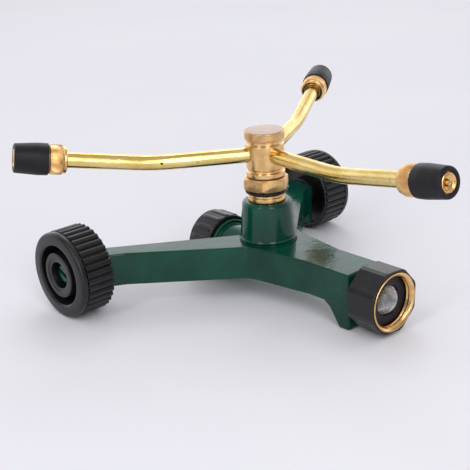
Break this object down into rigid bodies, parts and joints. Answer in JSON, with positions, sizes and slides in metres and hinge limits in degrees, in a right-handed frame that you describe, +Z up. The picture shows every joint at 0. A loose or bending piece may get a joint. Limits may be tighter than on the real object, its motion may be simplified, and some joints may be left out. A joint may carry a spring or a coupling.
{
  "type": "rotary lawn sprinkler",
  "caption": "Rotary lawn sprinkler: cast sled base on ridged wheels, swivel hose inlet, capped outlet and a spinning hub whose bent brass arms end in screw-adjusted nozzles.",
  "frame": {"origin": "on the ground under the middle of the whole sprinkler; the rotor's axis stands at x = 0, 25.8 mm towards the wheels", "axes": "+Z up, +Y from the hose inlet towards the capped outlet and the wheels, +X along the wheels' axis and along the widest span of the arms"},
  "size_m": [0.2341, 0.2105, 0.0981],
  "materials": {
    "green_enamel": "glossy dark green enamel on a casting",
    "polished_brass": "polished drawn tube",
    "turned_brass": "machined, with fine turning marks",
    "stainless_steel": "bright, lightly brushed",
    "black_rubber": "smooth, slightly dull",
    "black_plastic": "moulded, semi-gloss",
    "white_polymer": "low-friction washers, satin"
  },
  "bodies": {
    "base": {"base_casting": "green_enamel", "pedestal_bush": "turned_brass", "gland_nut": "turned_brass", "post_seal": "black_rubber", "bearing_post": "stainless_steel", "lower_thrust_washer": "white_polymer", "upper_thrust_washer": "white_polymer", "post_screw": "stainless_steel", "inlet_tailpiece": "turned_brass", "inlet_washer": "black_rubber", "inlet_filter": "stainless_steel"},
    "rotor": {"rotor_hub": "turned_brass", "hub_cap": "turned_brass", "arm_tube_1": "polished_brass", "arm_tube_2": "polished_brass", "arm_tube_3": "polished_brass", "nozzle_stem_1": "turned_brass", "nozzle_stem_2": "turned_brass", "nozzle_stem_3": "turned_brass"},
    "nozzle_ring_1": {"nozzle_seal_1": "black_rubber"},
    "nozzle_ring_2": {"nozzle_seal_2": "black_rubber"},
    "nozzle_ring_3": {"nozzle_seal_3": "black_rubber"},
    "nozzle_head_1": {"nozzle_barrel_1": "turned_brass", "nozzle_grip_1": "black_rubber"},
    "nozzle_head_2": {"nozzle_barrel_2": "turned_brass", "nozzle_grip_2": "black_rubber"},
    "nozzle_head_3": {"nozzle_barrel_3": "turned_brass", "nozzle_grip_3": "black_rubber"},
    "inlet_coupling": {"inlet_nut": "turned_brass", "inlet_grip": "black_plastic"},
    "outlet_ring": {"outlet_seal": "black_rubber"},
    "outlet_plug": {"outlet_cap": "black_plastic"},
    "wheel_left_body": {"wheel_left": "black_plastic"},
    "wheel_right_body": {"wheel_right": "black_plastic"}
  },
  "joints": [
    {"name": "rotor_spin", "type": "hinge", "parent": "base", "child": "rotor", "pos_m": [0, 0.02581, 0.0777], "axis": [0, 0, 1], "continuous": true},
    {"name": "nozzle_travel_1", "type": "slide", "parent": "rotor", "child": "nozzle_ring_1", "axis": [-0.8877, 0.4291, 0.1668], "range_m": [-0.001, 0.002]},
    {"name": "nozzle_twist_1", "type": "hinge", "parent": "nozzle_ring_1", "child": "nozzle_head_1", "pos_m": [-0.09242, 0.07417, 0.08664], "axis": [-0.8877, 0.4291, 0.1668], "range_deg": [-360, 720]},
    {"name": "nozzle_travel_2", "type": "slide", "parent": "rotor", "child": "nozzle_ring_2", "axis": [-0.0653, -0.9838, 0.1668], "range_m": [-0.001, 0.002]},
    {"name": "nozzle_twist_2", "type": "hinge", "parent": "nozzle_ring_2", "child": "nozzle_head_2", "pos_m": [-0.01022, -0.078, 0.08664], "axis": [-0.0653, -0.9838, 0.1668], "range_deg": [-360, 720]},
    {"name": "nozzle_travel_3", "type": "slide", "parent": "rotor", "child": "nozzle_ring_3", "axis": [0.8343, 0.5254, 0.1668], "range_m": [-0.001, 0.002]},
    {"name": "nozzle_twist_3", "type": "hinge", "parent": "nozzle_ring_3", "child": "nozzle_head_3", "pos_m": [0.08999, 0.07855, 0.08664], "axis": [0.8343, 0.5254, 0.1668], "range_deg": [-360, 720]},
    {"name": "inlet_swivel", "type": "hinge", "parent": "base", "child": "inlet_coupling", "pos_m": [0, -0.055, 0.0179], "axis": [0, 1, 0], "continuous": true},
    {"name": "outlet_cap_travel", "type": "slide", "parent": "base", "child": "outlet_ring", "axis": [0, 1, 0], "range_m": [0, 0.01326]},
    {"name": "outlet_cap_turn", "type": "hinge", "parent": "outlet_ring", "child": "outlet_plug", "pos_m": [0, 0.0716, 0.0179], "axis": [0, 1, 0], "range_deg": [0, 2160]},
    {"name": "wheel_left_roll", "type": "hinge", "parent": "base", "child": "wheel_left_body", "pos_m": [-0.09, 0.08161, 0.0235], "axis": [1, 0, 0], "continuous": true},
    {"name": "wheel_right_roll", "type": "hinge", "parent": "base", "child": "wheel_right_body", "pos_m": [0.09, 0.08161, 0.0235], "axis": [1, 0, 0], "continuous": true}
  ],
  "couplings": [
    {"joint": "nozzle_travel_1", "follows": "nozzle_twist_1", "m_per_rad": 0.00015915},
    {"joint": "nozzle_travel_2", "follows": "nozzle_twist_2", "m_per_rad": 0.00015915},
    {"joint": "nozzle_travel_3", "follows": "nozzle_twist_3", "m_per_rad": 0.00015915},
    {"joint": "outlet_cap_travel", "follows": "outlet_cap_turn", "m_per_rad": 0.00035173}
  ]
}
